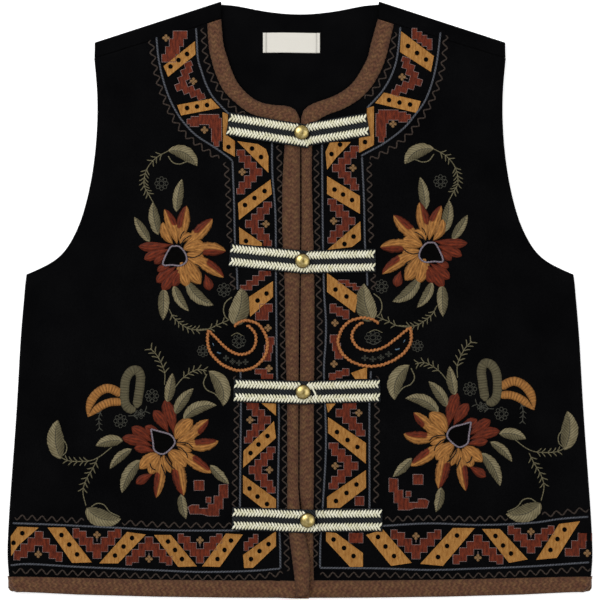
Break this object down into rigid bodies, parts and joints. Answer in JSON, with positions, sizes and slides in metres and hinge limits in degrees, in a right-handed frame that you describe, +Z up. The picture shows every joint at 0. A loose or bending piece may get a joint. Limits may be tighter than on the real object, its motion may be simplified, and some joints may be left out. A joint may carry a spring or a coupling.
{
  "type": "vest",
  "caption": "Short black velvet folk vest laid flat and fastened, with embroidered fronts, brown knitted braid edges, cream plaited frog closures and brass dome buttons.",
  "frame": {"origin": "middle of the vest's outline, on the surface that its back lies on", "axes": "+Z up from the surface, +Y towards the neck, +X towards the wearer's left side"},
  "size_m": [0.5272, 0.5373, 0.017],
  "materials": {
    "velvet": "black cotton velvet with a soft pile",
    "braid": "knitted wool braid, brown with reddish and olive strands",
    "frog": "cream plaited cord on a black band",
    "button": "polished, slightly worn",
    "label": "plain woven tape"
  },
  "bodies": {
    "root": {"back": "velvet", "front_right": "velvet", "front_left": "velvet", "back_hem_braid": "braid", "hem_braid_right": "braid", "hem_braid_left": "braid", "edge_braid_right": "braid", "edge_braid_left": "braid", "neck_braid_right": "braid", "neck_braid_left": "braid", "frog_loop_1": "frog", "frog_loop_2": "frog", "frog_loop_3": "frog", "frog_loop_4": "frog", "frog_tab_1": "frog", "frog_tab_2": "frog", "frog_tab_3": "frog", "frog_tab_4": "frog", "button_1": "button", "button_2": "button", "button_3": "button", "button_4": "button", "label": "label"}
  },
  "joints": []
}
